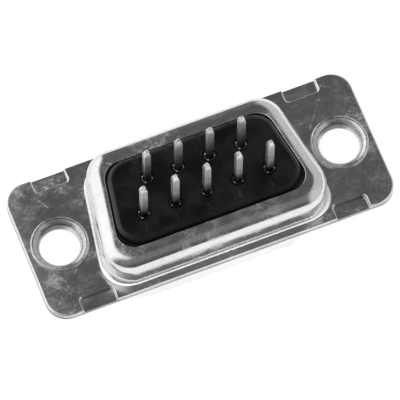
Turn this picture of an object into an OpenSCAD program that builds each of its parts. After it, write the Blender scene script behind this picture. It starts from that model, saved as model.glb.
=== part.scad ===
// Nine-way D-shaped pin connector with straight board tails.
// It stands on the rim of its mating shell, with the tails up.
// X runs along the flange, the row of five is on the -Y side, and
// the origin is at the middle of the rim.

/* [Contacts] */
// Pitch of the contacts along a row
contact_pitch = 2.77; // [2.65:0.01:2.85]
// Distance between the two rows
row_spacing = 2.84; // [2.6:0.01:3]
// Diameter of the mating pins
pin_d = 1.02; // [0.8:0.01:1.1]
// Radius of the round nose of a mating pin
pin_nose_r = 0.34; // [0.1:0.02:0.38]
// Distance of the pin tips inside the rim
pin_setback = 0.8; // [0.3:0.1:2]
// Diameter of a contact's shank inside the front insulator
shank_d = 1.3; // [1.2:0.05:1.5]
// Diameter of the collar that holds a contact between the insulators
collar_d = 1.9; // [1.5:0.05:2.1]
// Thickness of that collar
collar_t = 0.6; // [0.3:0.05:0.9]
// Diameter of a contact's barrel behind the collar
barrel_d = 0.88; // [0.86:0.01:1.1]
// Depth of the barrel's end below the rear face
barrel_setback = 0.04; // [0.02:0.01:0.3]
// Thickness of the barrel's wall round its mouth
mouth_wall = 0.04; // [0.03:0.01:0.05]
// Depth of that mouth
mouth_depth = 0.3; // [0.1:0.05:0.5]
// Width of the square tails
tail_w = 0.58; // [0.5:0.01:0.6]
// Radius of the long edges of a tail
tail_edge_r = 0.08; // [0.04:0.01:0.15]
// Length of the tails above the rear face
tail_len = 5.5; // [3:0.1:12]
// Length of the four-sided point of a tail
tail_point_len = 0.7; // [0.3:0.05:1.2]
// Width left at the end of the point
tail_point_w = 0.2; // [0.1:0.02:0.4]

/* [Flanges] */
// Distance from a hole's middle to the nearer end of the flange
hole_to_end = 2.905; // [2.6:0.005:3.4]
// Width of the flanges
flange_w = 12.5; // [12:0.1:14]
// Radius of the corners of the flanges
flange_corner_r = 2; // [0.5:0.1:3]
// Distance from the pan's side to the middle of a hole
pan_to_hole = 2.655; // [2.5:0.005:3]
// Distance along the flange from a hole's middle back to a notch's middle
hole_to_notch = 1.265; // [0.9:0.005:1.6]
// Length of a notch along the flange's edge
notch_l = 2.9; // [2:0.1:3.2]
// Depth of a notch from the flange's edge
notch_depth = 1.2; // [0.6:0.05:1.4]
// Radius of the inner corners of a notch
notch_corner_r = 0.3; // [0.1:0.05:0.5]

/* [Mating shell] */
// Thickness of the front shell's sheet
front_sheet_t = 0.4; // [0.3:0.02:0.5]
// Height of the mating shell from its rim to the flange's face
mating_depth = 5.9; // [5.6:0.05:6.2]
// Greatest inner width of the mating shell
mating_w = 16.92; // [16.7:0.02:17.1]
// Inner height of the mating shell
mating_h = 8.36; // [8.1:0.02:8.5]
// Radius of the mating shell's inner corners
mating_corner_r = 2.6; // [2:0.1:3]
// Radius between the mating shell and the flange's face
mating_root_r = 0.3; // [0.15:0.05:0.5]
// Width of the chamfers along the rim
rim_chamfer = 0.1; // [0.03:0.01:0.12]
// Slant of the two short sides
side_slant = 10; // [8:0.5:12]

/* [Rear shell] */
// Thickness of the rear shell's sheet
rear_sheet_t = 0.4; // [0.3:0.02:0.5]
// Greatest outer width of the pan
pan_w = 19.68; // [19.4:0.02:19.8]
// Outer height of the pan's outline
pan_h = 11; // [10.7:0.05:11.1]
// Radius of the pan's outer corners
pan_corner_r = 2.4; // [1.8:0.1:3]
// Rise of the pan above the flange
pan_rise = 3.3; // [2.8:0.05:4.5]
// Radius of the pan's outer top edge
pan_edge_r = 1.2; // [0.6:0.05:1.3]
// Radius between the pan's wall and the flange
pan_root_r = 0.25; // [0.15:0.05:0.35]
// Greatest width of the window in the pan's roof
window_w = 16.51; // [16:0.02:16.8]
// Height of that window
window_h = 7.64; // [7.3:0.02:7.9]
// Radius of the window's corners
window_corner_r = 1.5; // [1:0.1:2]

/* [Insulators] */
// Gap between the rear insulator's boss and the window
boss_gap = 0.14; // [0.05:0.01:0.25]
// Rise of the boss above the pan's roof
boss_rise = 0.44; // [0.2:0.02:1.2]
// Radius of the boss's corners
boss_corner_r = 1.9; // [1:0.1:2.4]
// Radius of the edge round the boss's face
boss_edge_r = 0.36; // [0.1:0.02:0.4]
// Thickness of the front insulator's plate
front_plate_t = 1.6; // [1.2:0.05:2]
// Depth that the front insulator reaches into the mating shell
front_boss_depth = 0.3; // [0.1:0.05:1]
// Gap between the insulators and the shells' walls
shell_gap = 0.08; // [0.03:0.01:0.15]
// Gap round the contacts in their holes
contact_gap = 0.02; // [0.01:0.005:0.05]
// Diameter of the wells round the tails
well_d = 1.2; // [1.1:0.02:1.6]
// Depth of those wells
well_depth = 0.3; // [0.2:0.05:0.8]
// Diameter of the large ejector mark
mark_d = 1.44; // [1:0.02:1.6]
// Diameter of the smaller marks between neighbouring contacts
small_mark_d = 1.1; // [0.6:0.02:1.2]
// X of the large mark
mark_x = -6.3; // [-6.6:0.1:-6]
// Depth of the ejector marks
mark_depth = 0.04; // [0.02:0.01:0.1]

/* [Eyelets] */
// Diameter of the eyelets' bore
eyelet_bore_d = 3.4; // [3:0.05:3.5]
// Thickness of the eyelets' wall
eyelet_wall = 0.46; // [0.4:0.02:0.5]
// Diameter of the eyelets' heads
eyelet_head_d = 4.9; // [4.6:0.05:5.2]
// Thickness of the heads
eyelet_head_t = 0.2; // [0.15:0.01:0.3]
// Diameter of the funnel that the bore opens into, at the rear head's face
eyelet_funnel_d = 4.44; // [4.2:0.02:4.5]
// Length of the bore's straight part
eyelet_straight = 0.3; // [0.2:0.02:0.4]
// Radius of the bore's edge at the front
eyelet_lip_r = 0.15; // [0.05:0.01:0.18]
// Radius of the heads' outer edges
eyelet_edge_r = 0.15; // [0.05:0.01:0.15]
// Gap round the eyelets in the flanges' holes
eyelet_gap = 0.04; // [0.02:0.01:0.08]

/* [Hidden] */

$fn = 40;
cut = 0.01;     // how far a cutting solid runs past a face
wide_row = 5;   // contacts in the row on the -Y side
narrow_row = 4; // contacts in the other row

// levels above the rim
front_face_z = mating_depth;
joint_z = front_face_z + front_sheet_t;      // where the two flanges meet
flange_top_z = joint_z + rear_sheet_t;
roof_z = flange_top_z + pan_rise;
rear_face_z = roof_z + boss_rise;            // the rear insulator's outer face
parting_z = joint_z + front_plate_t;         // where the two insulators meet
collar_top_z = parting_z + collar_t;
barrel_end_z = rear_face_z - barrel_setback;
mouth_z = barrel_end_z - mouth_depth;         // the floor of the barrel's mouth
tail_top_z = rear_face_z + tail_len;
floor_z = front_face_z - front_boss_depth;   // the front insulator's outer face

hole_d = eyelet_bore_d + 2 * (eyelet_wall + eyelet_gap);
hole_spacing = pan_w + 2 * pan_to_hole;
notch_x = hole_spacing / 2 - hole_to_notch;  // from the middle of the flange
flange_l = hole_spacing + 2 * hole_to_end;

// A D outline is kept as its four corner centres, [half width of the wide side,
// half width of the narrow side, half height], and a radius round them.
function d_core(width, height, r) =
    let (reach = 2 * (height / 2 - r) * tan(side_slant))
    [width / 2 - r, width / 2 - r - reach, height / 2 - r];

mating_core = d_core(mating_w, mating_h, mating_corner_r);
pan_core = d_core(pan_w, pan_h, pan_corner_r);
window_core = d_core(window_w, window_h, window_corner_r);

// The corner centres of a D from its half width at mid height.
function side_core(mid, height, r) =
    let (hc = height / 2 - r)
    [mid - r / cos(side_slant) + hc * tan(side_slant),
     mid - r / cos(side_slant) - hc * tan(side_slant), hc];

// The boss keeps its gap to the window, with a corner radius of its own.
boss_mid = window_core[0] - window_core[2] * tan(side_slant)
         + (window_corner_r - boss_gap) / cos(side_slant);
boss_core = side_core(boss_mid, window_h - 2 * boss_gap, boss_corner_r);

// A solid D: a profile, drawn as [distance from the core, height] and turned round
// each corner centre, with everything between the corners filled.
module d_solid(core) {
    hull() {
        for (x = [-1, 1]) {
            translate([x * core[0], -core[2]]) rotate_extrude() children();
            translate([x * core[1], core[2]]) rotate_extrude() children();
        }
    }
}

// A straight-sided D of radius r round its core.
module d_block(core, r, z0, z1) {
    d_solid(core) translate([0, z0]) square([r, z1 - z0]);
}

// A D that narrows or widens evenly from radius r0 at z0 to r1 at z1.
module d_taper(core, r0, z0, r1, z1) {
    d_solid(core) polygon([[0, z0], [r0, z0], [r1, z1], [0, z1]]);
}

// A D of radius r whose upper edge is rounded to edge_r.
module d_dome(core, r, edge_r, z0, z1) {
    d_solid(core) {
        translate([0, z0]) square([r - edge_r, z1 - z0]);
        translate([0, z0]) square([r, z1 - edge_r - z0]);
        translate([r - edge_r, z1 - edge_r]) quarter(edge_r);
    }
}

// The flanges' outline.
module flange_outline() {
    inner = [flange_l - 2 * flange_corner_r, flange_w - 2 * flange_corner_r];
    square([flange_l, inner[1]], center = true);
    square([inner[0], flange_w], center = true);
    for (x = [-1, 1], y = [-1, 1])
        translate([x * inner[0] / 2, y * inner[1] / 2]) circle(flange_corner_r);
}

// One notch in the edge of the rear shell's flange.
module notch() {
    depth = notch_depth + cut;
    straight = notch_l - 2 * notch_corner_r;
    translate([-notch_l / 2, notch_corner_r - notch_depth])
        square([notch_l, depth - notch_corner_r]);
    translate([-straight / 2, -notch_depth]) square([straight, depth]);
    for (x = [-1, 1])
        translate([x * straight / 2, notch_corner_r - notch_depth]) circle(notch_corner_r);
}

// The place of each contact, numbered from 1 at the -X end of the row of five.
function contact_place(n) =
    n <= wide_row
    ? [(n - (wide_row + 1) / 2) * contact_pitch, -row_spacing / 2]
    : [(n - wide_row - (narrow_row + 1) / 2) * contact_pitch, row_spacing / 2];

module at_contacts() {
    for (n = [1 : wide_row + narrow_row]) translate(contact_place(n)) children();
}

module at_holes() {
    for (x = [-1, 1]) translate([x * hole_spacing / 2, 0]) children();
}

// A disc's quarter, in the quadrant of +X and +Y.
module quarter(r) {
    intersection() {
        circle(r);
        square(r);
    }
}

module front_shell() {
    inner_r = mating_corner_r;
    outer_r = inner_r + front_sheet_t;
    inner_bend = mating_root_r + front_sheet_t;
    color([0.66, 0.67, 0.69]) difference() {
        union() {
            translate([0, 0, front_face_z]) linear_extrude(front_sheet_t) flange_outline();
            d_solid(mating_core)
                polygon([[0, 0], [outer_r - rim_chamfer, 0], [outer_r, rim_chamfer],
                         [outer_r, joint_z], [0, joint_z]]);
            d_taper(mating_core, outer_r, front_face_z - mating_root_r,
                    outer_r + mating_root_r, front_face_z);
        }
        d_block(mating_core, inner_r, -cut, joint_z + cut);
        d_taper(mating_core, inner_r + rim_chamfer + cut, -cut, inner_r, rim_chamfer);
        d_taper(mating_core, inner_r, joint_z - inner_bend, inner_r + inner_bend, joint_z);
        at_holes() translate([0, 0, front_face_z - cut])
            cylinder(d = hole_d, h = front_sheet_t + 2 * cut);
    }
}

module rear_shell() {
    outer_r = pan_corner_r;
    inner_r = outer_r - rear_sheet_t;
    inner_bend = pan_root_r + rear_sheet_t;
    color([0.7, 0.71, 0.73]) difference() {
        union() {
            translate([0, 0, joint_z]) linear_extrude(rear_sheet_t) difference() {
                flange_outline();
                for (x = [-1, 1], turn = [0, 180]) rotate(turn)
                    translate([x * notch_x, flange_w / 2]) notch();
            }
            d_dome(pan_core, outer_r, pan_edge_r, joint_z, roof_z);
            d_taper(pan_core, outer_r + pan_root_r, flange_top_z,
                    outer_r, flange_top_z + pan_root_r);
        }
        d_dome(pan_core, inner_r, pan_edge_r - rear_sheet_t, joint_z - cut,
               roof_z - rear_sheet_t);
        d_taper(pan_core, inner_r + inner_bend + cut, joint_z - cut,
                inner_r, joint_z + inner_bend);
        d_block(window_core, window_corner_r, roof_z - 2 * rear_sheet_t, roof_z + cut);
        at_holes() translate([0, 0, joint_z - cut])
            cylinder(d = hole_d, h = rear_sheet_t + 2 * cut);
    }
}

// The radius of the part of both insulators that lies in the pan.
plate_r = pan_corner_r - rear_sheet_t - shell_gap;

module front_insulator() {
    boss_r = mating_corner_r - shell_gap;
    color([0.07, 0.07, 0.075]) difference() {
        union() {
            d_block(pan_core, plate_r, joint_z, parting_z);
            d_block(mating_core, boss_r, floor_z, joint_z + front_plate_t / 2);
        }
        at_contacts() translate([0, 0, floor_z - cut])
            cylinder(d = shank_d + 2 * contact_gap, h = parting_z - floor_z + 2 * cut);
    }
}

module rear_insulator() {
    roof_inner_z = roof_z - rear_sheet_t;
    edge_r = pan_edge_r - rear_sheet_t - shell_gap;
    boss_foot = (parting_z + roof_inner_z) / 2; // the boss starts inside the plate
    color([0.06, 0.06, 0.065]) difference() {
        union() {
            d_dome(pan_core, plate_r, edge_r, parting_z, roof_inner_z);
            d_dome(boss_core, boss_corner_r, boss_edge_r, boss_foot, rear_face_z);
        }
        at_contacts() {
            translate([0, 0, parting_z - cut])
                cylinder(d = collar_d + 2 * contact_gap, h = collar_t + cut);
            translate([0, 0, parting_z - cut])
                cylinder(d = barrel_d + 2 * contact_gap, h = rear_face_z - parting_z + 2 * cut);
            translate([0, 0, rear_face_z - well_depth]) cylinder(d = well_d, h = well_depth + cut);
        }
        marks();
    }
}

// Shallow round marks of the mould's ejector pins in the rear face.
module marks() {
    outer_y = (row_spacing + window_h) / 4; // midway between a row and the boss's edge
    z = rear_face_z - mark_depth;
    for (n = [1 : wide_row - 1])
        translate([(n - wide_row / 2) * contact_pitch, -outer_y, z])
            cylinder(d = small_mark_d, h = mark_depth + cut);
    for (n = [1 : narrow_row - 1])
        translate([(n - narrow_row / 2) * contact_pitch, outer_y, z])
            cylinder(d = small_mark_d, h = mark_depth + cut);
    translate([mark_x, row_spacing / 4, z]) cylinder(d = mark_d, h = mark_depth + cut);
}

// A square tail with rounded long edges and a four-sided point.
module tail() {
    foot = mouth_z - mouth_wall;
    long = tail_top_z - foot;
    point = long - tail_point_len;
    core = tail_w - 2 * tail_edge_r;
    translate([0, 0, foot]) intersection() {
        linear_extrude(long) {
            square([tail_w, core], center = true);
            square([core, tail_w], center = true);
            for (x = [-1, 1], y = [-1, 1])
                translate([x * core / 2, y * core / 2]) circle(tail_edge_r);
        }
        pointed_bar(long, point);
        rotate(90) pointed_bar(long, point);
    }
}

// A bar along Z, wider than the tail one way, whose two other sides run
// straight up to the height point and then lean in to the tail's end.
module pointed_bar(long, point) {
    half = tail_w / 2;
    rotate([90, 0, 0]) linear_extrude(2 * tail_w, center = true)
        polygon([[-half, 0], [half, 0], [half, point], [tail_point_w / 2, long],
                 [-tail_point_w / 2, long], [-half, point]]);
}

// One contact, standing on the middle of its own axis.
module contact() {
    pin_r = pin_d / 2;
    nose_z = pin_setback + pin_nose_r;
    color([0.78, 0.78, 0.76]) {
        rotate_extrude() {
            translate([0, pin_setback]) square([pin_r - pin_nose_r, pin_nose_r]);
            translate([pin_r - pin_nose_r, nose_z]) mirror([0, 1]) quarter(pin_nose_r);
            translate([0, nose_z]) square([pin_r, floor_z - nose_z]);
            translate([0, floor_z]) square([shank_d / 2, parting_z - floor_z]);
            translate([0, parting_z]) square([collar_d / 2, collar_t]);
            translate([0, collar_top_z]) square([barrel_d / 2, mouth_z - collar_top_z]);
            translate([barrel_d / 2 - mouth_wall, mouth_z]) square([mouth_wall, mouth_depth]);
        }
        tail();
    }
}

module numbered_contact(n) {
    translate(contact_place(n)) contact();
}

// Section of one head of an eyelet, from its wall out to its rounded edge. The
// head's face is at the height rise.
module eyelet_head(rise) {
    bore_r = eyelet_bore_d / 2;
    head_r = eyelet_head_d / 2;
    translate([bore_r, rise - eyelet_head_t])
        square([head_r - eyelet_edge_r - bore_r, eyelet_head_t]);
    translate([head_r - eyelet_edge_r, rise - eyelet_head_t])
        square([eyelet_edge_r, eyelet_head_t - eyelet_edge_r]);
    translate([head_r - eyelet_edge_r, rise - eyelet_edge_r]) quarter(eyelet_edge_r);
}

// What a mouth takes off the section. It starts from the bore at the height foot
// and curves out by the width w over the height h.
module eyelet_mouth(w, h, foot) {
    bore_r = eyelet_bore_d / 2;
    r = (w * w + h * h) / (2 * w);
    difference() {
        translate([bore_r - cut, foot]) square([w + cut, h + cut]);
        translate([bore_r + r, foot]) circle(r);
    }
}

// The wide funnel opens to the rear, and the small mouth to the front.
module eyelet(side) {
    rise = (front_sheet_t + rear_sheet_t) / 2 + eyelet_head_t;
    foot = eyelet_lip_r + eyelet_straight - rise;
    mid_z = (front_face_z + flange_top_z) / 2;
    color([0.74, 0.74, 0.75])
        translate([side * hole_spacing / 2, 0, mid_z]) rotate_extrude() difference() {
            union() {
                translate([eyelet_bore_d / 2, -rise]) square([eyelet_wall, 2 * rise]);
                eyelet_head(rise);
                mirror([0, 1]) eyelet_head(rise);
            }
            eyelet_mouth((eyelet_funnel_d - eyelet_bore_d) / 2, rise - foot, foot);
            mirror([0, 1]) eyelet_mouth(eyelet_lip_r, eyelet_lip_r, rise - eyelet_lip_r);
        }
}

front_shell();
rear_shell();
front_insulator();
rear_insulator();
for (n = [1 : wide_row + narrow_row])
    numbered_contact(n);
eyelet(-1);  // eyelet_left
eyelet(1);  // eyelet_right
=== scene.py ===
import math
import bmesh
import bpy
from mathutils import Matrix, Vector


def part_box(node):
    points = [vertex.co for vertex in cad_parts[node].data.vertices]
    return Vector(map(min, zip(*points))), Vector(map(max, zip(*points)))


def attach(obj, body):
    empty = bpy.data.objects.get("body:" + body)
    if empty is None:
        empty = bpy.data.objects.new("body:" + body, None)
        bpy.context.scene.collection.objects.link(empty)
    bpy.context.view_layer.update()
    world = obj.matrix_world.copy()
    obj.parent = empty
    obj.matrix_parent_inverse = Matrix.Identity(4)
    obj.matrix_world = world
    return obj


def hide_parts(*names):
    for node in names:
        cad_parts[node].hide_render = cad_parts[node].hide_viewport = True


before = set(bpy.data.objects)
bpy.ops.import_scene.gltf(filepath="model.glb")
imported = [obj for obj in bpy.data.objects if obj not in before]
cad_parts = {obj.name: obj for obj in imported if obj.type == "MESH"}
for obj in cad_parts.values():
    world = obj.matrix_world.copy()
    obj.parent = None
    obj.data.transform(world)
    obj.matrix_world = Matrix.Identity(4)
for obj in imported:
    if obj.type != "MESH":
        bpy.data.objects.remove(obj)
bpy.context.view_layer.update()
print("frame loaded")

mm = 0.001
scene = bpy.context.scene

# sizes below are in millimetres, and the places come from the frame's own boxes
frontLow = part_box("front_shell")[0]
rearLow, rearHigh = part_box("rear_shell")
backLow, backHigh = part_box("rear_insulator")
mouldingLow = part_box("front_insulator")[0]
jointZ = rearLow.z / mm       # where the two flanges meet
roofZ = rearHigh.z / mm
rearFaceZ = backHigh.z / mm
partingZ = backLow.z / mm     # where the two insulators meet
flangeHalfX = rearHigh.x / mm
flangeHalfY = rearHigh.y / mm
cornerSteps = 14              # faces round each corner of a D


def arcPoints(centre, radius, startDeg, endDeg, steps):
    out = []
    for i in range(steps + 1):
        turn = math.radians(startDeg + (endDeg - startDeg) * i / steps)
        out.append((centre[0] + radius * math.cos(turn), centre[1] + radius * math.sin(turn)))
    return out


# a D is kept as the centres of its corners: wide side, narrow side and half the height
def dCore(width, height, radius, slantDeg):
    lean = 2 * (height / 2 - radius) * math.tan(math.radians(slantDeg))
    return (width / 2 - radius, width / 2 - radius - lean, height / 2 - radius)


# the same D, from where its slanted side stands at mid height
def sideCore(mid, height, radius, slantDeg):
    slant = math.radians(slantDeg)
    half = height / 2 - radius
    middle = mid - radius / math.cos(slant)
    return (middle + half * math.tan(slant), middle - half * math.tan(slant), half)


def dRing(core, radius, z, slantDeg):
    wide, narrow, half = core
    corners = (((wide, -half), -90, slantDeg), ((narrow, half), slantDeg, 90),
               ((-narrow, half), 90, 180 - slantDeg), ((-wide, -half), 180 - slantDeg, 270))
    ring = []
    for centre, start, end in corners:
        ring += arcPoints(centre, radius, start, end, cornerSteps)
    return atHeight(ring, z)


# the same ring, drawn outward in the middle of the two corners on the lower-numbered side
def flaredRing(core, radius, z, slantDeg, flare):
    ring = dRing(core, radius, z, slantDeg)
    for start, side in ((0, 1), (len(ring) - cornerSteps - 1, -1)):
        for i in range(cornerSteps + 1):
            x, y, _ = ring[start + i]
            away = Vector((x - side * core[0], y + core[2])).normalized()
            away *= flare * math.sin(math.pi * i / cornerSteps) ** 2
            ring[start + i] = (x + away.x, y + away.y, z)
    return ring


def circleRing(centre, radius, z, steps):
    return atHeight(arcPoints(centre, radius, 0, 360, steps)[:-1], z)


def squareRing(centre, width, edge, edgeSteps, z):
    half = width / 2 - edge
    ring = []
    for i, (sideX, sideY) in enumerate(((1, 1), (-1, 1), (-1, -1), (1, -1))):
        corner = (centre[0] + sideX * half, centre[1] + sideY * half)
        ring += arcPoints(corner, edge, 90 * i, 90 * i + 90, edgeSteps)
    return atHeight(ring, z)


def insetLoop(points, depth):
    out = []
    for i, point in enumerate(points):
        before = Vector(point) - Vector(points[i - 1])
        after = Vector(points[(i + 1) % len(points)]) - Vector(point)
        inBefore = Vector((-before.y, before.x)).normalized()
        inAfter = Vector((-after.y, after.x)).normalized()
        inward = (inBefore + inAfter) / (1 + inBefore.dot(inAfter))
        out.append((point[0] + inward.x * depth, point[1] + inward.y * depth))
    return out


def atHeight(points, z):
    return [(x, y, z) for x, y in points]


# a mesh in the making: loops of corners joined by bands, each in one of the piece's finishes
class Form:
    def __init__(self, **finishes):
        self.bm = bmesh.new()
        self.finishes = finishes

    def paint(self, face, finish):
        face.material_index = list(self.finishes).index(finish) if finish else 0

    def loop(self, points):
        return [self.bm.verts.new(Vector(point) * mm) for point in points]

    def band(self, a, b, finish=None):
        count = len(a)
        for i in range(count):
            j = (i + 1) % count
            self.paint(self.bm.faces.new((a[i], a[j], b[j], b[i])), finish)

    def cap(self, loop, finish=None):
        self.paint(self.bm.faces.new(loop), finish)

    def flat(self, loops):
        edges = []
        for loop in loops:
            for i, corner in enumerate(loop):
                ends = (corner, loop[(i + 1) % len(loop)])
                edges.append(self.bm.edges.get(ends) or self.bm.edges.new(ends))
        bmesh.ops.triangle_fill(self.bm, use_beauty=True, use_dissolve=False, edges=edges)

    def turned(self, centre, profile, steps, finish=None):
        rings = [self.loop(circleRing(centre, radius, z, steps)) for radius, z in profile]
        for a, b in zip(rings, rings[1:]):
            self.band(a, b, finish)
        return rings

    def done(self, name, node, sharpDeg=38):
        bmesh.ops.recalc_face_normals(self.bm, faces=self.bm.faces)
        limit = math.radians(sharpDeg)
        for face in self.bm.faces:
            face.smooth = True
        for edge in self.bm.edges:
            if len(edge.link_faces) == 2 and edge.calc_face_angle(0) > limit:
                edge.smooth = False
        mesh = bpy.data.meshes.new(name)
        for material in self.finishes.values():
            mesh.materials.append(material)
        self.bm.to_mesh(mesh)
        self.bm.free()
        piece = bpy.data.objects.new(name, mesh)
        scene.collection.objects.link(piece)
        weigh = piece.modifiers.new("evenNormals", "WEIGHTED_NORMAL")
        weigh.keep_sharp = True
        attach(piece, "root")
        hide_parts(node)
        print("made", name, len(mesh.polygons), "faces")
        return piece


# wraps a socket, so that sums on it add their Math nodes
class Value:
    def __init__(self, graph, socket):
        self.graph = graph
        self.socket = socket

    def sum(self, operation, a, b):
        return self.graph.add("ShaderNodeMath", {"operation": operation}, {0: a, 1: b})

    def __add__(self, other):
        return self.sum("ADD", self, other)

    def __radd__(self, other):
        return self.sum("ADD", other, self)

    def __sub__(self, other):
        return self.sum("SUBTRACT", self, other)

    def __rsub__(self, other):
        return self.sum("SUBTRACT", other, self)

    def __mul__(self, other):
        return self.sum("MULTIPLY", self, other)

    def __rmul__(self, other):
        return self.sum("MULTIPLY", other, self)


class Graph:
    def __init__(self, tree):
        self.tree = tree
        tree.nodes.clear()

    def add(self, kind, settings=None, values=None, out=0):
        node = self.tree.nodes.new(kind)
        for name, value in (settings or {}).items():
            setattr(node, name, value)
        for name, value in (values or {}).items():
            if isinstance(value, Value):
                self.tree.links.new(value.socket, node.inputs[name])
            else:
                node.inputs[name].default_value = value
        return Value(self, node.outputs[out]) if len(node.outputs) else None

    def noise(self, where, scale, detail=3.0, rough=0.5):
        return self.add("ShaderNodeTexNoise", {},
                        {"Vector": where, "Scale": scale, "Detail": detail, "Roughness": rough})

    def step(self, value, low, high, a=0.0, b=1.0):
        return self.add("ShaderNodeMapRange", {"interpolation_type": "SMOOTHSTEP"},
                        {"Value": value, "From Min": low, "From Max": high,
                         "To Min": a, "To Max": b})

    # sockets 0, 6 and 7 are the factor and the two colours, and output 2 the mixed colour
    def blend(self, amount, a, b):
        return self.add("ShaderNodeMix", {"data_type": "RGBA"}, {0: amount, 6: a, 7: b}, 2)

    def axes(self, where):
        x = self.add("ShaderNodeSeparateXYZ", {}, {0: where}, "X")
        outputs = x.socket.node.outputs
        return x, Value(self, outputs["Y"]), Value(self, outputs["Z"])

    def bump(self, strength, distance, height):
        return self.add("ShaderNodeBump", {},
                        {"Strength": strength, "Distance": distance * mm, "Height": height})


def newMaterial(name):
    material = bpy.data.materials.new(name)
    material.use_nodes = True
    return material, Graph(material.node_tree)


def finishMaterial(graph, shader):
    graph.add("ShaderNodeOutputMaterial", {}, {"Surface": shader})


def grey(level, blue=0.0):
    return (level, level, level + blue, 1)


# plated sheet steel, the look that every plated piece starts from
# cloud, smear and fine are its three noises, and each range is where one fades in
tinPlate = {"dark": grey(0.68, 0.01), "light": grey(0.8, 0.01), "metal": 1.0,
            "cloudScale": 230, "cloudDetail": 4, "smearScale": 900, "smearDetail": 6,
            "smearRough": 0.6, "fineScale": 3600, "fineDetail": 3,
            "toneCloud": (0.35, 0.65), "toneFine": (0.4, 0.62), "cloudShare": 0.6,
            "smooth": 0.1, "dull": 0.2, "dullRange": (0.35, 0.7),
            "hazeDull": 0.12, "hazeCloud": (0.44, 0.7), "hazeSmear": (0.3, 0.75),
            "hazeFine": (0.35, 0.7),
            "rubDull": 0.08, "rubScale": 700, "rubDetail": 2, "rubStretch": (1, 14, 14),
            "rubTurn": 0.5, "rubRange": (0.56, 0.8),
            "scratchDull": 0.2, "scratchScale": 90, "scratchWidth": 0.0035,
            "scratchRange": (0.5, 0.6), "scratchDip": 0.3,
            "pitColour": grey(0.35, 0.01), "pitScale": 3800, "pitDepth": 0.6,
            "pitSize": (0.05, 0.16), "pitRange": (0.5, 0.66), "pitDip": 0.1,
            "waviness": 0.5, "grain": 0.1, "bump": 0.35, "bumpHeight": 0.03,
            "shadeAxis": 1, "shadeFrom": 1.0, "shadeTo": 1.6, "shadeDepth": 0.0,
            "shadeColour": grey(0.08),
            "wornFrom": -15.6, "wornTo": -13.0, "wornDull": 0.12}     # the worn left end


def platedSheet(name, look):
    material, graph = newMaterial(name)
    where = graph.add("ShaderNodeTexCoord", out="Object")
    axes = graph.axes(where)
    cloud = graph.noise(where, look["cloudScale"], look["cloudDetail"])
    smear = graph.noise(where, look["smearScale"], look["smearDetail"], look["smearRough"])
    fine = graph.noise(where, look["fineScale"], look["fineDetail"])
    haze = graph.step(smear, *look["hazeSmear"]) + graph.step(fine, *look["hazeFine"])
    haze = graph.step(cloud, *look["hazeCloud"]) * haze
    stretched = graph.add("ShaderNodeMapping", {}, {
        "Vector": where, "Scale": look["rubStretch"], "Rotation": (0, 0, look["rubTurn"])})
    rub = graph.noise(stretched, look["rubScale"], look["rubDetail"])
    rub = graph.step(rub, *look["rubRange"])
    cells = graph.add("ShaderNodeTexVoronoi", {"feature": "DISTANCE_TO_EDGE"},
                      {"Vector": where, "Scale": look["scratchScale"]})
    scratch = graph.step(cells, 0.0, look["scratchWidth"], 1, 0)
    scratch = scratch * graph.step(smear, *look["scratchRange"])
    speck = graph.add("ShaderNodeTexVoronoi", {}, {"Vector": where, "Scale": look["pitScale"]})
    pit = graph.step(speck, *look["pitSize"], 1, 0) * graph.step(smear, *look["pitRange"])
    tone = graph.step(cloud, *look["toneCloud"]) * look["cloudShare"] \
        + graph.step(fine, *look["toneFine"]) * (1 - look["cloudShare"])
    colour = graph.blend(tone, look["dark"], look["light"])
    colour = graph.blend(pit * look["pitDepth"], colour, look["pitColour"])
    # painted shade: the colour fades towards shadeColour along one axis, and stays off while shadeDepth is 0
    shade = graph.step(axes[look["shadeAxis"]], look["shadeFrom"] * mm, look["shadeTo"] * mm)
    colour = graph.blend(shade * look["shadeDepth"], colour, look["shadeColour"])
    worn = graph.step(axes[0], look["wornFrom"] * mm, look["wornTo"] * mm, 1, 0)
    gloss = graph.step(smear, *look["dullRange"], look["smooth"], look["dull"]) \
        + worn * look["wornDull"] + haze * look["hazeDull"] + rub * look["rubDull"] \
        + scratch * look["scratchDull"]
    height = cloud * look["waviness"] + smear * look["grain"] + fine * look["grain"] \
        - scratch * look["scratchDip"] - pit * look["pitDip"]
    shader = graph.add("ShaderNodeBsdfPrincipled", {}, {
        "Base Color": colour, "Metallic": look["metal"], "Roughness": gloss,
        "Normal": graph.bump(look["bump"], look["bumpHeight"], height)})
    finishMaterial(graph, shader)
    return material


# black moulding with a faint mottle and fine grain
blackPlastic = {"dark": (0.0018, 0.0018, 0.0022, 1), "light": (0.0046, 0.0046, 0.0052, 1),
                "cloudScale": 500, "cloudDetail": 4, "toneRange": (0.35, 0.65),
                "grainScale": 9000, "grainDetail": 2,
                "smooth": 0.38, "dull": 0.55, "dullRange": (0.3, 0.7), "specular": 0.07,
                "bump": 0.25, "bumpHeight": 0.02, "cloudDip": 0.5,
                "coat": 0.0, "coatDull": 0.32, "coatFrom": -3.6, "coatTo": -1.6}


def blackMoulding(name, look):
    material, graph = newMaterial(name)
    where = graph.add("ShaderNodeTexCoord", out="Object")
    cloud = graph.noise(where, look["cloudScale"], look["cloudDetail"])
    grain = graph.noise(where, look["grainScale"], look["grainDetail"])
    tone = graph.step(cloud, *look["toneRange"])
    gloss = graph.step(cloud, *look["dullRange"], look["smooth"], look["dull"])
    coat = graph.step(graph.axes(where)[1], look["coatFrom"] * mm, look["coatTo"] * mm)
    shader = graph.add("ShaderNodeBsdfPrincipled", {}, {
        "Base Color": graph.blend(tone, look["dark"], look["light"]), "Roughness": gloss,
        "Normal": graph.bump(look["bump"], look["bumpHeight"], grain + cloud * look["cloudDip"]),
        "Specular IOR Level": look["specular"], "Coat Weight": coat * look["coat"],
        "Coat Roughness": look["coatDull"]})
    finishMaterial(graph, shader)
    return material


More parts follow.
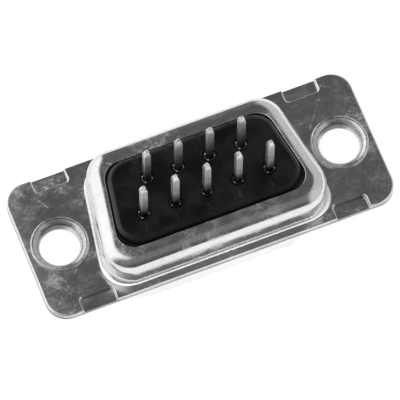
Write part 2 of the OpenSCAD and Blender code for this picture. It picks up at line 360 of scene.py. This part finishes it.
# both shells: the margin is a narrow flat ring that keeps the shading even beside a rounded edge
shell = {"sheet": 0.4, "slant": 10, "cornerRadius": 1.8, "cornerSteps": 12, "margin": 0.04,
         "holeRadius": 2.2, "holeSteps": 48, "rollDegrees": (0, 25, 50, 70, 90),
         "holeCentre": (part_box("eyelet_right")[0].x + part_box("eyelet_right")[1].x) / 2 / mm}
sheared = dict(tinPlate, dark=grey(0.46, 0.01), light=grey(0.84, 0.01), smearScale=2600,
               fineScale=9000, smooth=0.3, dull=0.55, grain=0.5, bump=0.7)

rear = {"width": 19.68, "height": 11.0, "corner": 2.4, "edge": 1.2, "edgeSteps": 12,
        "insideSteps": 10, "root": 0.25, "rootSteps": 6, "flare": 0.25, "rootHighlightBands": (2, 3),
        "windowWidth": 16.51, "windowHeight": 7.64, "windowCorner": 1.5, "windowEdge": 0.05,
        "windowSteps": 3, "rollover": 0.13, "burr": 0.03,
        "notchX": 11.23, "notchLength": 2.9, "notchDepth": 1.2, "notchCorner": 0.3,
        "notchSteps": 5, "shadeReach": 0.2, "uprightBelow": 0.995,
        "plateFinish": platedSheet("brightTinPlate", tinPlate),
        "cutFinish": platedSheet("shearedEdge", sheared),
        # painted highlight: a pale, barely metallic grey on two bands of the pan's root fillet draws the
        # bright line along the root
        "rootHighlightFinish": platedSheet("paintedRootHighlight", dict(
            tinPlate, dark=grey(0.34), light=grey(0.42), smooth=0.4, dull=0.5, pitDepth=0.2,
            metal=0.1)),
        "shadeFinish": platedSheet("shadedEdge", dict(sheared, dark=grey(0.16), light=grey(0.42)))}

front = {"width": 16.92, "height": 8.36, "corner": 2.6, "root": 0.3, "rootSteps": 5,
         "insideSteps": 6, "rim": 0.12, "rimSteps": 4, "rollover": 0.06, "burr": 0.04,
         "plateFinish": platedSheet("plainTinPlate", dict(
             tinPlate, dark=grey(0.7, 0.01), light=grey(0.82, 0.01))),
         "cutFinish": platedSheet("dullShearedEdge", dict(sheared, dark=grey(0.2), light=grey(0.5))),
         # painted shade: the mating shell turns grey from 1 mm up to 4.2 mm height, towards the flange above
         # it
         "skirtFinish": platedSheet("skirtPlate", dict(
             tinPlate, dark=grey(0.97), light=grey(1.0), smooth=0.42, dull=0.52, pitDepth=0.1,
             bump=0.2, shadeAxis=2, shadeFrom=1.0, shadeTo=4.2, shadeDepth=1.0,
             shadeColour=grey(0.36)))}
print("shell finishes made")


# half the outline, then the same half turned round: the notches come in two pairs
def flangeOutline(notched):
    halfX, halfY, corner = flangeHalfX, flangeHalfY, shell["cornerRadius"]
    half = [(corner - halfX, -halfY)]
    if notched:
        reach, inner = rear["notchLength"] / 2, rear["notchCorner"]
        floorY = rear["notchDepth"] - halfY
        for x in (-rear["notchX"], rear["notchX"]):
            left, right = x - reach, x + reach
            half.append((left, -halfY))
            half += arcPoints((left + inner, floorY - inner), inner, 180, 90, rear["notchSteps"])
            half += arcPoints((right - inner, floorY - inner), inner, 90, 0, rear["notchSteps"])
            half.append((right, -halfY))
    steps = shell["cornerSteps"]
    half += arcPoints((halfX - corner, corner - halfY), corner, -90, 0, steps)
    half += arcPoints((halfX - corner, halfY - corner), corner, 0, 90, steps)[:-1]
    return half + [(-x, -y) for x, y in half]


# a flange: both flats with their holes, a burred edge below and a rolled-over one above
def addFlange(form, outline, lowZ, highZ, lowRing, highRing, part):
    margin, burr, roll = shell["margin"], part["burr"], part["rollover"]
    loops = [form.loop(atHeight(insetLoop(outline, burr + margin), lowZ)),
             form.loop(atHeight(insetLoop(outline, burr), lowZ)),
             form.loop(atHeight(outline, lowZ + burr))]
    for deg in shell["rollDegrees"]:
        turn = math.radians(deg)
        inset = roll * (1 - math.cos(turn))
        z = highZ - roll + roll * math.sin(turn)
        loops.append(form.loop(atHeight(insetLoop(outline, inset), z)))
    loops.append(form.loop(atHeight(insetLoop(outline, roll + margin), highZ)))
    for a, b in zip(loops, loops[1:]):
        form.band(a, b, "cut" if a in loops[1:4] else "plate")
    low, high = [loops[0], lowRing], [loops[-1], highRing]
    radius = shell["holeRadius"]
    for x in (-shell["holeCentre"], shell["holeCentre"]):
        a, b = form.turned((x, 0), [(radius, lowZ), (radius, highZ)], shell["holeSteps"])
        low.append(a)
        high.append(b)
    form.flat(low)
    form.flat(high)


# the two notch floors on the lower-numbered side lie in the shade of the flange below
def shadeNotchFloors(form):
    floorY, reach = rear["notchDepth"] - flangeHalfY, rear["shadeReach"]
    form.bm.normal_update()
    for face in form.bm.faces:
        spot = face.calc_center_median() / mm
        away = abs(abs(spot.x) - rear["notchX"])
        upright = abs(face.normal.z) < rear["uprightBelow"]
        if upright and abs(spot.y - floorY) < reach and away < rear["notchLength"] / 2 - reach:
            form.paint(face, "shade")


def buildRearShell():
    t, slant, margin = shell["sheet"], shell["slant"], shell["margin"]
    r, e, root = rear["corner"], rear["edge"], rear["root"]
    windowR, windowE = rear["windowCorner"], rear["windowEdge"]
    core = dCore(rear["width"], rear["height"], r, slant)
    window = dCore(rear["windowWidth"], rear["windowHeight"], windowR, slant)
    flangeTop = jointZ + t
    outer = [(r + root + margin, flangeTop)]
    outer += arcPoints((r + root, flangeTop + root), root, 270, 180, rear["rootSteps"])
    outer += arcPoints((r - e, roofZ - e), e, 0, 90, rear["edgeSteps"])
    outer.append((r - e - margin, roofZ))
    hem = [(windowR + windowE + margin, roofZ)]
    hem += arcPoints((windowR + windowE, roofZ - windowE), windowE, 90, 180, rear["windowSteps"])
    hem.append((windowR, roofZ - t))
    inner = arcPoints((r - e, roofZ - e), e - t, 90, 0, rear["insideSteps"])
    inner += arcPoints((r + root, flangeTop + root), root + t, 180, 270, rear["rootSteps"])
    inner.append((r + root + margin, jointZ))
    form = Form(plate=rear["plateFinish"], cut=rear["cutFinish"], drawn=rear["rootHighlightFinish"],
                shade=rear["shadeFinish"])
    loops = []
    for radius, z in outer:
        flare = rear["flare"] * min(max((radius - r) / root, 0), 1)
        loops.append(form.loop(flaredRing(core, radius, z, slant, flare)))
    loops += [form.loop(dRing(window, radius, z, slant)) for radius, z in hem]
    loops += [form.loop(dRing(core, radius, z, slant)) for radius, z in inner]
    hemStart = len(outer) + len(hem) - 2
    for i, (a, b) in enumerate(zip(loops, loops[1:])):
        finish = "cut" if i in (hemStart, hemStart - 1) else "plate"
        # the listed bands of the root fillet take the painted root highlight
        form.band(a, b, "drawn" if i in rear["rootHighlightBands"] else finish)
    addFlange(form, flangeOutline(True), jointZ, flangeTop, loops[-1], loops[0], rear)
    shadeNotchFloors(form)
    return form.done("rearShell", "rear_shell")


def buildFrontShell():
    t, slant, margin = shell["sheet"], shell["slant"], shell["margin"]
    r, root, rim = front["corner"], front["root"], front["rim"]
    core = dCore(front["width"], front["height"], r, slant)
    low = frontLow.z / mm
    faceZ = jointZ - t
    foot = r + t + root
    profile = [(foot + margin, faceZ)]
    profile += arcPoints((foot, faceZ - root), root, 90, 180, front["rootSteps"])
    profile += arcPoints((r + t - rim, low + rim), rim, 0, -90, front["rimSteps"])
    profile += arcPoints((r + rim, low + rim), rim, -90, -180, front["rimSteps"])
    profile += arcPoints((foot, faceZ - root), root + t, 180, 90, front["insideSteps"])
    profile.append((foot + margin, jointZ))
    form = Form(plate=front["plateFinish"], cut=front["cutFinish"], skirt=front["skirtFinish"])
    loops = [form.loop(dRing(core, radius, z, slant)) for radius, z in profile]
    for i, (a, b) in enumerate(zip(loops, loops[1:])):
        form.band(a, b, "skirt" if i < len(loops) // 2 else "plate")
    addFlange(form, flangeOutline(False), faceZ, jointZ, loops[0], loops[-1], front)
    return form.done("frontShell", "front_shell")


buildRearShell()
buildFrontShell()

insulator = {"gap": 0.14, "corner": 1.9, "edge": 0.36, "edgeSteps": 8,
             "plateGap": 0.08, "plateSteps": 6,
             "wellRadius": 0.6, "wellDepth": 0.3, "wellHole": 0.46, "wellSteps": 36,
             "lip": 0.04, "lipSteps": 4,
             "smallMark": 0.55, "largeMark": 0.72, "markDepth": 0.04, "markSteps": 32,
             "largeMarkX": -6.3, "largeMarkY": 0.71, "markRow": 2.62,
             "digitSize": 0.95, "digitFineness": 3, "digitRaise": 0.025, "digitSunk": 0.02,
             "digitLeft": -0.35, "nearDigitY": -2.8, "farDigitY": 3.25,
             "plainFinish": blackMoulding("blackMoulding", blackPlastic),
             "roundedFinish": blackMoulding("mouldedEdge", dict(blackPlastic, coat=0.9)),
             "markFinish": blackMoulding("ejectorMark", dict(
                 blackPlastic, dark=(0.0014, 0.0014, 0.0017, 1),
                 light=(0.0036, 0.0036, 0.004, 1), specular=0.058)),
             "digitFinish": blackMoulding("raisedDigit", dict(
                 blackPlastic, dark=(0.004, 0.004, 0.005, 1), light=(0.01, 0.01, 0.011, 1),
                 smooth=0.3, dull=0.45, specular=0.2))}
print("insulator finishes made")
nearRow = (1, 2, 3, 4, 5)
farRow = (6, 7, 8, 9)


def middleOf(node):
    low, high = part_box(node)
    return ((low.x + high.x) / 2 / mm, (low.y + high.y) / 2 / mm)


spots = {n: middleOf("contact_%d" % n) for n in nearRow + farRow}


def addDigit(form, n, place):
    curve = bpy.data.curves.new("digit", "FONT")
    curve.body = str(n)
    curve.size = insulator["digitSize"] * mm
    curve.align_x = "CENTER"
    curve.align_y = "CENTER"
    curve.extrude = (insulator["digitRaise"] + insulator["digitSunk"]) / 2 * mm
    curve.resolution_u = insulator["digitFineness"]
    holder = bpy.data.objects.new("digit", curve)
    mesh = holder.to_mesh()
    z = rearFaceZ + (insulator["digitRaise"] - insulator["digitSunk"]) / 2
    mesh.transform(Matrix.Translation(Vector((place[0], place[1], z)) * mm))
    start = len(form.bm.faces)
    form.bm.from_mesh(mesh)
    form.bm.faces.ensure_lookup_table()
    for face in form.bm.faces[start:]:
        form.paint(face, "digit")
    holder.to_mesh_clear()
    bpy.data.objects.remove(holder)
    bpy.data.curves.remove(curve)


# one large ejector mark, and a small one midway between neighbours in each row
def markPlaces():
    places = [((insulator["largeMarkX"], insulator["largeMarkY"]), insulator["largeMark"])]
    for row, y in ((nearRow, -insulator["markRow"]), (farRow, insulator["markRow"])):
        for a, b in zip(row, row[1:]):
            places.append((((spots[a][0] + spots[b][0]) / 2, y), insulator["smallMark"]))
    return places


def buildRearInsulator():
    slant, t, margin = shell["slant"], shell["sheet"], shell["margin"]
    windowR = rear["windowCorner"]
    window = dCore(rear["windowWidth"], rear["windowHeight"], windowR, slant)
    a = math.radians(slant)
    mid = window[0] - window[2] * math.tan(a) + (windowR - insulator["gap"]) / math.cos(a)
    bossCore = sideCore(mid, rear["windowHeight"] - 2 * insulator["gap"], insulator["corner"], slant)
    panCore = dCore(rear["width"], rear["height"], rear["corner"], slant)
    plateR = rear["corner"] - t - insulator["plateGap"]
    plateE = rear["edge"] - t - insulator["plateGap"]
    ceiling = roofZ - t
    r, e = insulator["corner"], insulator["edge"]
    plate = [(plateR, partingZ)]
    plate += arcPoints((plateR - plateE, ceiling - plateE), plateE, 0, 90, insulator["plateSteps"])
    rise = [(r, ceiling)] + arcPoints((r - e, rearFaceZ - e), e, 0, 90, insulator["edgeSteps"])
    rise.append((r - e - margin, rearFaceZ))
    form = Form(plain=insulator["plainFinish"], mark=insulator["markFinish"], digit=insulator["digitFinish"],
                rounded=insulator["roundedFinish"])
    loops = [form.loop(dRing(panCore, radius, z, slant)) for radius, z in plate]
    loops += [form.loop(dRing(bossCore, radius, z, slant)) for radius, z in rise]
    for i, (a, b) in enumerate(zip(loops, loops[1:])):
        form.band(a, b, "rounded" if i > len(plate) else "plain")
    top, bottom = [loops[-1]], [loops[0]]
    lip, wellR, hole = insulator["lip"], insulator["wellRadius"], insulator["wellHole"]
    wellFloor = rearFaceZ - insulator["wellDepth"]
    for spot in spots.values():
        profile = [(wellR + lip + margin, rearFaceZ)]
        profile += arcPoints((wellR + lip, rearFaceZ - lip), lip, 90, 180, insulator["lipSteps"])
        profile += [(wellR, wellFloor), (hole, wellFloor), (hole, partingZ)]
        rings = form.turned(spot, profile, insulator["wellSteps"])
        top.append(rings[0])
        bottom.append(rings[-1])
    for centre, radius in markPlaces():
        profile = [(radius, rearFaceZ), (radius, rearFaceZ - insulator["markDepth"])]
        rings = form.turned(centre, profile, insulator["markSteps"])
        top.append(rings[0])
        form.cap(rings[1], "mark")
    form.flat(top)
    form.flat(bottom)
    for n, (x, y) in spots.items():
        digitY = insulator["nearDigitY"] if y < 0 else insulator["farDigitY"]
        addDigit(form, n, (x + insulator["digitLeft"], digitY))
    return form.done("rearInsulator", "rear_insulator")


buildRearInsulator()
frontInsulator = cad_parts["front_insulator"]
frontInsulator.data.materials.clear()
frontInsulator.data.materials.append(insulator["plainFinish"])

# dull tin on the tails with specks near the cut end, painted shade toward the foot and a painted highlight
# toward the end; gold below
nearTail = {"dark": grey(0.5), "light": grey(0.58), "toneRange": (0.35, 0.65),
            "gold": (0.83, 0.60, 0.25, 1), "goldFade": 0.2, "goldShine": 0.2,
            "speck": grey(0.05), "speckReach": 1.3, "speckMore": 0.16, "speckRange": (0.68, 0.74),
            "speckDepth": 0.7, "paintedTipLight": grey(0.8), "pointReach": 0.8, "pointEnd": 0.3,
            "footShade": grey(0.02), "footStart": 0.26, "footReach": 2.26,
            "cloudScale": 1500, "cloudDetail": 4, "grainScale": 4200, "grainDetail": 5,
            "grainRough": 0.65, "metal": 0.97, "smooth": 0.44, "dull": 0.52,
            "dullRange": (0.3, 0.7), "bump": 0.3, "bumpHeight": 0.03}
# the far row is a copy with lighter tin, whose painted shade reaches over the whole tail
farTail = dict(nearTail, dark=grey(0.66), light=grey(0.74), footShade=grey(0.01), footStart=-1.0,
               footReach=6.0)


def contactPlate(name, look):
    goldTop, footZ, tipZ = mouldingLow.z, backHigh.z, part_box("contact_1")[1].z
    material, graph = newMaterial(name)
    where = graph.add("ShaderNodeTexCoord", out="Object")
    z = graph.axes(where)[2]
    cloud = graph.noise(where, look["cloudScale"], look["cloudDetail"])
    grain = graph.noise(where, look["grainScale"], look["grainDetail"], look["grainRough"])
    nearTip = graph.step(z, tipZ - look["speckReach"] * mm, tipZ)
    speck = graph.step(grain + nearTip * look["speckMore"], *look["speckRange"])
    tin = graph.blend(graph.step(cloud, *look["toneRange"]), look["dark"], look["light"])
    # painted shade darkens the tail towards its foot
    foot = graph.step(z, footZ + look["footStart"] * mm, footZ + look["footReach"] * mm, 1, 0)
    tin = graph.blend(foot, tin, look["footShade"])
    # painted highlight: the tin lightens towards the end of the tail
    point = graph.step(z, tipZ - look["pointReach"] * mm, tipZ - look["pointEnd"] * mm)
    tin = graph.blend(point, tin, look["paintedTipLight"])
    tin = graph.blend(speck * look["speckDepth"], tin, look["speck"])
    isGold = graph.step(z, goldTop - look["goldFade"] * mm, goldTop, 1, 0)
    gloss = graph.step(cloud, *look["dullRange"], look["smooth"], look["dull"]) \
        - isGold * look["goldShine"]
    shader = graph.add("ShaderNodeBsdfPrincipled", {}, {
        "Base Color": graph.blend(isGold, tin, look["gold"]), "Metallic": look["metal"],
        "Roughness": gloss, "Normal": graph.bump(look["bump"], look["bumpHeight"], grain + cloud)})
    finishMaterial(graph, shader)
    return material


# painted highlight: near-white dents that glint on each mouth's rim; the rings below start from the same
# look
dentGlintLook = dict(tinPlate, dark=grey(0.8), light=grey(1.0), smearScale=3000, fineScale=9000,
               smooth=0.2, dull=0.4, bump=0.6)
# painted shade: the mouth's ring is dark, and lighter on the far row, where it gives painted lit crescents
ringLook = dict(dentGlintLook, dark=grey(0.12), light=grey(0.3), smooth=0.35)
contact = {"pin": 0.51, "nose": 0.34, "noseSteps": 8, "shank": 0.65,
           "collar": 0.95, "collarRise": 0.6, "barrel": 0.44, "barrelSetback": 0.04,
           "mouthWall": 0.04, "mouthDepth": 0.3, "mouthEdge": 0.019, "mouthSteps": 3,
           "steps": 32, "sharp": 30, "tail": 0.58, "tailEdge": 0.08, "tailSteps": 4,
           "point": 0.7, "sunk": 0.08,
           "tip": ((0.23, 0.04, 0.03), (0.18, 0.03, 0.0)),    # width, edge, height below the end
           "nearFinish": contactPlate("nearRowTin", nearTail),
           "farFinish": contactPlate("farRowTin", farTail),
           # painted shade: the mouth's floor and inner wall are near black
           "mouthShadowFinish": blackMoulding("paintedMouthShadow", dict(
               blackPlastic, dark=grey(0.001), light=grey(0.004), smooth=0.5, dull=0.7,
               specular=0.05)),
           "dentGlintFinish": platedSheet("paintedDentGlint", dentGlintLook),
           "nearRingFinish": platedSheet("shadedMouthRing", ringLook),
           "farRingFinish": platedSheet("lighterShadedMouthRing", dict(
               ringLook, dark=grey(0.3), light=grey(0.6))),
           # dents on the mouth's rim, painted near white as a painted highlight: the radius they lie on, and
           # their angles
           "dentRadius": 0.075, "dentSunk": 0.035, "dentTopDeg": 75, "dentRise": 4, "dentSteps": 10,
           "outerDents": (0.41, (51, 139, 231, 341)), "middleDents": (0.37, (20, 120, 205, 318)),
           "middlePins": (2, 3, 4)}
print("contact finishes made")


def addDents(form, n, ledge):
    c = contact
    reach, angles = c["middleDents"] if n in c["middlePins"] else c["outerDents"]
    dome = arcPoints((0, ledge - c["dentSunk"]), c["dentRadius"], 0, c["dentTopDeg"], c["dentRise"])
    for deg in angles:
        turn = math.radians(deg)
        spot = (spots[n][0] + reach * math.cos(turn), spots[n][1] + reach * math.sin(turn))
        rings = form.turned(spot, dome, c["dentSteps"], "dent")
        form.cap(rings[0], "dent")
        form.cap(rings[-1], "dent")


def buildContact(n):
    low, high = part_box("contact_%d" % n)
    base, tip = low.z / mm, high.z / mm
    shoulder = mouldingLow.z / mm
    c = contact
    row = "near" if n in nearRow else "far"
    form = Form(tin=c[row + "Finish"], inside=c["mouthShadowFinish"], dent=c["dentGlintFinish"],
                ring=c[row + "RingFinish"])
    collarTop = partingZ + c["collarRise"]
    ledge, edge = rearFaceZ - c["barrelSetback"], c["mouthEdge"]
    mouthFloor, mouthR = ledge - c["mouthDepth"], c["barrel"] - c["mouthWall"]
    profile = arcPoints((c["pin"] - c["nose"], base + c["nose"]), c["nose"], -90, 0,
                        c["noseSteps"])
    profile += [(c["pin"], shoulder), (c["shank"], shoulder), (c["shank"], partingZ),
                (c["collar"], partingZ), (c["collar"], collarTop), (c["barrel"], collarTop)]
    mouthStart = len(profile)
    profile += arcPoints((c["barrel"] - edge, ledge - edge), edge, 0, 90, c["mouthSteps"])
    profile += arcPoints((mouthR + edge, ledge - edge), edge, 90, 180, c["mouthSteps"])
    profile.append((mouthR, mouthFloor))
    rings = [form.loop(circleRing(spots[n], radius, z, c["steps"])) for radius, z in profile]
    for i, (a, b) in enumerate(zip(rings, rings[1:])):
        inMouth = "inside" if i in (mouthStart, len(rings) - 2) else "ring"
        form.band(a, b, "tin" if i < mouthStart else inMouth)
    form.cap(rings[0])
    form.cap(rings[-1], "inside")
    addDents(form, n, ledge)
    steps = [(c["tail"], c["tailEdge"], mouthFloor - c["sunk"]),
             (c["tail"], c["tailEdge"], tip - c["point"])]
    steps += [(width, corner, tip - below) for width, corner, below in c["tip"]]
    loops = [form.loop(squareRing(spots[n], width, corner, c["tailSteps"], z))
             for width, corner, z in steps]
    for a, b in zip(loops, loops[1:]):
        form.band(a, b)
    form.cap(loops[0])
    form.cap(loops[-1])
    return form.done("contact%d" % n, "contact_%d" % n, c["sharp"])


for number in spots:
    buildContact(number)

eyeletPlate = dict(tinPlate, dark=grey(0.46, 0.01), light=grey(0.74, 0.01), smooth=0.22, dull=0.34,
                   hazeDull=0.05, scratchScale=900, scratchWidth=0.01, bump=0.5)
eyelet = {"bore": 1.7, "wall": 0.46, "headThickness": 0.2, "funnel": 2.22, "funnelSteps": 16,
          "lip": 0.15, "lipSteps": 5, "straight": 0.3, "throat": 1.85, "crest": 0.04,
          "edge": 0.17, "edgeSteps": 6, "footSteps": 4, "steps": 72,
          "plateFinish": platedSheet("eyeletPlate", eyeletPlate),
          # painted shade: from y = 1 mm to 1.6 mm the far side of each throat turns dark
          "throatFinish": platedSheet("eyeletThroat", dict(
              eyeletPlate, dark=grey(0.5), light=grey(0.8), smooth=0.3, dull=0.45,
              shadeDepth=0.8)),
          "seamFinish": platedSheet("eyeletSeam", dict(
              eyeletPlate, dark=grey(0.05), light=grey(0.2)))}
print("eyelet finishes made")


def buildEyelet(side):
    low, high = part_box("eyelet_" + side)
    centre = middleOf("eyelet_" + side)
    midZ = (low.z + high.z) / 2 / mm
    head, rise = (high.x - low.x) / 2 / mm, (high.z - low.z) / 2 / mm
    bore, lip, edge = eyelet["bore"], eyelet["lip"], eyelet["edge"]
    under, body = rise - eyelet["headThickness"], bore + eyelet["wall"]
    foot = lip + eyelet["straight"] - rise
    wide, tall = eyelet["funnel"] - bore, rise - foot - eyelet["crest"]
    curve = (wide * wide + tall * tall) / (2 * wide)
    slope = math.degrees(math.asin(tall / curve))
    profile = arcPoints((bore + lip, lip - rise), lip, 270, 180, eyelet["lipSteps"])
    profile += arcPoints((bore + curve, foot), curve, 180, 180 - slope, eyelet["funnelSteps"])
    crest = len(profile) - 1
    profile.append((profile[-1][0] + eyelet["crest"], rise))
    profile += arcPoints((head - edge, rise - edge), edge, 90, 0, eyelet["edgeSteps"])
    profile += [(head, under), (body, under), (body, -under), (head, -under)]
    profile += arcPoints((head - edge, edge - rise), edge, 0, -90, eyelet["footSteps"])
    form = Form(plate=eyelet["plateFinish"], throat=eyelet["throatFinish"],
                seam=eyelet["seamFinish"])
    rings = [form.loop(circleRing(centre, radius, midZ + z, eyelet["steps"]))
             for radius, z in profile]
    for i, ring in enumerate(rings):
        finish = "throat" if profile[i][0] < eyelet["throat"] else "plate"
        form.band(ring, rings[(i + 1) % len(rings)], "seam" if i == crest else finish)
    return form.done("eyelet" + side.capitalize(), "eyelet_" + side)


buildEyelet("left")
buildEyelet("right")

# floor, lights and what lies around, in metres and watts
# each range is a part of the sky over which a light fades in
studio = {"floorSize": 1.2, "floorDark": grey(0.8), "floorLight": grey(0.84), "floorScale": 20,
          "shadowKept": 0.1, "white": 1.0, "overhead": 0.135, "leftBox": 1.6,
          "leftEdge": (0.0, 0.12), "leftNear": (0.0, 0.4), "rightBox": 0.8,
          "rightEdge": (0.22, 0.4), "farGlow": 0.06, "farRange": (0.5, 1.05), "nearGlow": 0.12,
          "nearStart": (0.0, 0.35), "nearEnd": (0.75, 0.95), "horizon": (-0.01, 0.03),
          "topLamp": 3.5, "topLampSize": 0.25, "topLampPlace": (-0.06, -0.08, 0.35)}


def seenDirectly(graph):
    path = "ShaderNodeLightPath"
    seen = graph.add(path, out="Is Camera Ray") + graph.add(path, out="Is Glossy Ray") \
        + graph.add(path, out="Is Transmission Ray")
    return graph.add("ShaderNodeMath", {"operation": "MINIMUM"}, {0: seen, 1: 1.0})


def buildFloor():
    material, graph = newMaterial("paleFloor")
    where = graph.add("ShaderNodeTexCoord", out="Object")
    cloud = graph.noise(where, studio["floorScale"])
    colour = graph.blend(cloud, studio["floorDark"], studio["floorLight"])
    dull = graph.add("ShaderNodeBsdfDiffuse", {}, {"Color": colour})
    glow = graph.add("ShaderNodeEmission", {}, {"Strength": studio["white"]})
    shown = seenDirectly(graph) * (1 - studio["shadowKept"])
    finishMaterial(graph, graph.add("ShaderNodeMixShader", {}, {0: shown, 1: dull, 2: glow}))
    half = studio["floorSize"] / 2
    mesh = bpy.data.meshes.new("floor")
    mesh.from_pydata([(-half, -half, 0), (half, -half, 0), (half, half, 0), (-half, half, 0)],
                     [], [(0, 1, 2, 3)])
    floor = bpy.data.objects.new("floor", mesh)
    floor.location.z = frontLow.z
    scene.collection.objects.link(floor)
    mesh.materials.append(material)


# white below the horizon, a broad box on the left, a dimmer one on the right, grey between
def buildWorld():
    world = bpy.data.worlds.new("studio")
    scene.world = world
    world.use_nodes = True
    graph = Graph(world.node_tree)
    x, y, z = graph.axes(graph.add("ShaderNodeTexCoord", out="Generated"))
    nearer = 0 - y
    near = graph.step(nearer, *studio["nearStart"]) * (1 - graph.step(nearer, *studio["nearEnd"]))
    left = graph.step(0 - x, *studio["leftEdge"]) * (1 - graph.step(nearer, *studio["leftNear"]))
    right = graph.step(x, *studio["rightEdge"])
    far = graph.step(y, *studio["farRange"])
    sky = studio["overhead"] + near * studio["nearGlow"] + far * studio["farGlow"] \
        + left * (studio["leftBox"] - studio["overhead"]) \
        + right * (studio["rightBox"] - studio["overhead"])
    above = graph.step(z, *studio["horizon"])
    light = sky * above + (1 - above) * studio["white"]
    seen = graph.add("ShaderNodeLightPath", out="Is Camera Ray")
    strength = seen * studio["white"] + (1 - seen) * light
    shader = graph.add("ShaderNodeBackground", {}, {"Strength": strength})
    graph.add("ShaderNodeOutputWorld", {}, {"Surface": shader})


def buildLamp():
    lamp = bpy.data.lights.new("softTop", "AREA")
    lamp.energy = studio["topLamp"]
    lamp.size = studio["topLampSize"]
    holder = bpy.data.objects.new("softTop", lamp)
    holder.location = studio["topLampPlace"]
    holder.rotation_euler = (-holder.location).to_track_quat("-Z", "Y").to_euler()
    holder.visible_glossy = False
    scene.collection.objects.link(holder)


buildFloor()
buildWorld()
buildLamp()
print("floor and lights made")

view = {"azimuth": -21.81, "elevation": 67.18, "roll": 0.316, "distance": 373.58,
        "aside": -0.026, "upward": -0.551, "lens": 405.0, "film": 36,
        "nearest": 0.01, "farthest": 10}     # these two are in metres


def buildCamera():
    a, e, roll = (math.radians(view[k]) for k in ("azimuth", "elevation", "roll"))
    back = Vector((math.sin(a) * math.cos(e), -math.cos(a) * math.cos(e), math.sin(e)))
    right = Vector((math.cos(a), math.sin(a), 0))
    up = back.cross(right)
    turnedRight = math.cos(roll) * right + math.sin(roll) * up
    turnedUp = math.cos(roll) * up - math.sin(roll) * right
    aim = Vector((0, 0, jointZ + shell["sheet"])) + turnedRight * view["aside"] \
        + turnedUp * view["upward"]
    data = bpy.data.cameras.new("camera")
    data.lens = view["lens"]
    data.sensor_width = view["film"]
    data.clip_start = view["nearest"]
    data.clip_end = view["farthest"]
    camera = bpy.data.objects.new("camera", data)
    place = Matrix((turnedRight, turnedUp, back)).transposed().to_4x4()
    place.translation = (aim + back * view["distance"]) * mm
    camera.matrix_world = place
    scene.collection.objects.link(camera)
    scene.camera = camera


buildCamera()
scene.view_settings.view_transform = "Standard"
print("camera made")
